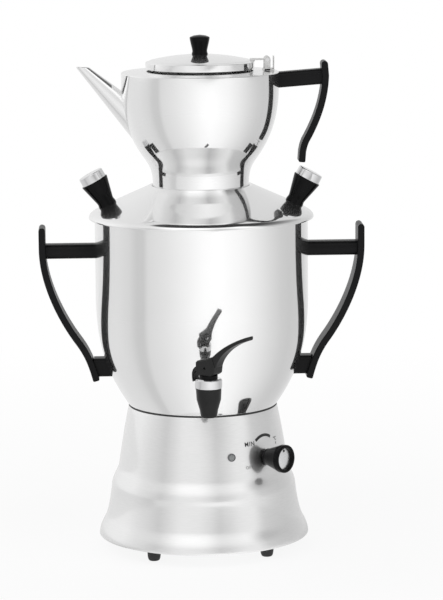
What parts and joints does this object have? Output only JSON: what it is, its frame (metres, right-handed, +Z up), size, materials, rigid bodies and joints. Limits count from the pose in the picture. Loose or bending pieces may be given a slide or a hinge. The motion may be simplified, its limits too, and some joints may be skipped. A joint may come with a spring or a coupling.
{
  "type": "electric samovar",
  "caption": "Electric samovar: polished boiler on a waisted base with a swivelling lever tap, thermostat knob, side grips and a lidded teapot on its steam lid.",
  "frame": {"origin": "on the tank's axis, on the surface the feet stand on", "axes": "+Z up the tank's axis, -Y out to the tap at the front, +X towards the teapot's handle"},
  "size_m": [0.312, 0.2926, 0.4973],
  "materials": {
    "base_shell": "satin brushed stainless steel",
    "bottom_plate": "plain steel sheet",
    "rubber_feet": "matt black rubber",
    "foot_screws": "zinc-plated steel",
    "seam_ring": "black sealing ring",
    "tank_shell": "mirror-polished stainless steel",
    "tie_rods": "steel",
    "tie_nuts": "steel",
    "heat_shield": "thin aluminium sheet",
    "heating_element": "heat-tinted steel tube",
    "element_seals": "silicone",
    "element_nuts": "brass",
    "thermal_cutout": "ceramic and phenolic",
    "cutout_clip": "spring steel",
    "thermostat_body": "white ceramic and plastic",
    "thermostat_bracket": "zinc-plated sheet",
    "thermostat_nut": "brass",
    "thermostat_shaft": "turned steel",
    "capillary_tube": "copper tube",
    "terminal_block": "white ceramic",
    "earth_stud": "brass",
    "wiring": "silicone-sleeved wires",
    "cord_gland": "black nylon",
    "gland_nut": "black nylon",
    "lamp_lens": "clear grey lens",
    "lamp_body": "chromed bezel",
    "handle_left": "satin black phenolic",
    "handle_right": "satin black phenolic",
    "handle_screws": "stainless steel",
    "tap_boss": "welded stainless steel",
    "tap_gasket": "silicone",
    "tap_body": "glossy black plastic",
    "tap_nut": "stainless steel",
    "tap_bonnet": "chrome plate",
    "tap_swivel": "black acetal washer",
    "tap_stem": "stainless steel",
    "tap_seat_cup": "food-grade silicone",
    "tap_spring": "spring wire",
    "tap_lever": "glossy black plastic",
    "lever_pin": "polished pin",
    "dial_knob": "glossy black plastic",
    "dial_insert": "spun aluminium",
    "lid_shell": "mirror-polished stainless steel",
    "lid_ring": "stainless steel",
    "lid_knobs": "glossy black plastic",
    "lid_knob_caps": "chrome caps",
    "lid_knob_screws": "stainless steel",
    "teapot_body": "mirror-polished stainless steel",
    "teapot_spout": "mirror-polished stainless steel",
    "teapot_handle": "satin black phenolic",
    "teapot_handle_screws": "stainless steel",
    "hinge_bracket": "polished steel",
    "hinge_pin": "polished steel",
    "hinge_leaf": "polished steel",
    "teapot_lid": "mirror-polished stainless steel",
    "teapot_lid_skirt": "stainless steel",
    "teapot_knob": "glossy black plastic",
    "teapot_knob_screw": "stainless steel"
  },
  "bodies": {
    "boiler": {"base_shell": "base_shell", "bottom_plate": "bottom_plate", "rubber_feet": "rubber_feet", "foot_screws": "foot_screws", "seam_ring": "seam_ring", "tank_shell": "tank_shell", "tie_rods": "tie_rods", "tie_nuts": "tie_nuts", "heat_shield": "heat_shield", "heating_element": "heating_element", "element_seals": "element_seals", "element_nuts": "element_nuts", "thermal_cutout": "thermal_cutout", "cutout_clip": "cutout_clip", "thermostat_body": "thermostat_body", "thermostat_bracket": "thermostat_bracket", "thermostat_nut": "thermostat_nut", "capillary_tube": "capillary_tube", "terminal_block": "terminal_block", "earth_stud": "earth_stud", "wiring": "wiring", "cord_gland": "cord_gland", "gland_nut": "gland_nut", "lamp_lens": "lamp_lens", "lamp_body": "lamp_body", "handle_left": "handle_left", "handle_right": "handle_right", "handle_screws": "handle_screws", "tap_boss": "tap_boss", "tap_gasket": "tap_gasket", "tap_body": "tap_body", "tap_nut": "tap_nut", "tap_bonnet": "tap_bonnet", "tap_spring": "tap_spring"},
    "dial": {"dial_knob": "dial_knob", "dial_insert": "dial_insert", "thermostat_shaft": "thermostat_shaft"},
    "swivel": {"tap_swivel": "tap_swivel"},
    "stem": {"tap_stem": "tap_stem", "tap_seat_cup": "tap_seat_cup"},
    "lever": {"tap_lever": "tap_lever", "lever_pin": "lever_pin"},
    "tank_lid": {"lid_shell": "lid_shell", "lid_ring": "lid_ring", "lid_knobs": "lid_knobs", "lid_knob_caps": "lid_knob_caps", "lid_knob_screws": "lid_knob_screws"},
    "teapot": {"teapot_body": "teapot_body", "teapot_spout": "teapot_spout", "teapot_handle": "teapot_handle", "teapot_handle_screws": "teapot_handle_screws", "hinge_bracket": "hinge_bracket", "hinge_pin": "hinge_pin"},
    "teapot_lid": {"teapot_lid": "teapot_lid", "teapot_lid_skirt": "teapot_lid_skirt", "teapot_knob": "teapot_knob", "teapot_knob_screw": "teapot_knob_screw", "hinge_leaf": "hinge_leaf"}
  },
  "joints": [
    {"name": "dial_turn", "type": "hinge", "parent": "boiler", "child": "dial", "pos_m": [0.05814, -0.05422, 0.0984], "axis": [0.7309, -0.6816, 0.0349], "range_deg": [-162, 108]},
    {"name": "tap_swivel", "type": "hinge", "parent": "boiler", "child": "swivel", "pos_m": [0, -0.153, 0.1942], "axis": [0, 0, 1], "range_deg": [-174, 66]},
    {"name": "stem_lift", "type": "slide", "parent": "swivel", "child": "stem", "axis": [0, 0, 1], "range_m": [0, 0.00249], "stiffness_N_per_m": 1500, "springref_m": -0.006, "deforming": ["tap_spring"]},
    {"name": "lever_tilt", "type": "hinge", "parent": "stem", "child": "lever", "pos_m": [0, -0.153, 0.2041], "axis": [0.5878, 0.809, 0], "range_deg": [0, 22]},
    {"name": "lid_lift", "type": "slide", "parent": "boiler", "child": "tank_lid", "axis": [0, 0, 1], "range_m": [0, 0.09]},
    {"name": "teapot_lift", "type": "slide", "parent": "tank_lid", "child": "teapot", "axis": [0, 0, 1], "range_m": [0, 0.09]},
    {"name": "teapot_lid_hinge", "type": "hinge", "parent": "teapot", "child": "teapot_lid", "pos_m": [0.064, 0, 0.4734], "axis": [0, 1, 0], "range_deg": [0, 105]}
  ],
  "couplings": [
    {"joint": "lever_tilt", "follows": "stem_lift", "rad_per_m": 153.85}
  ]
}
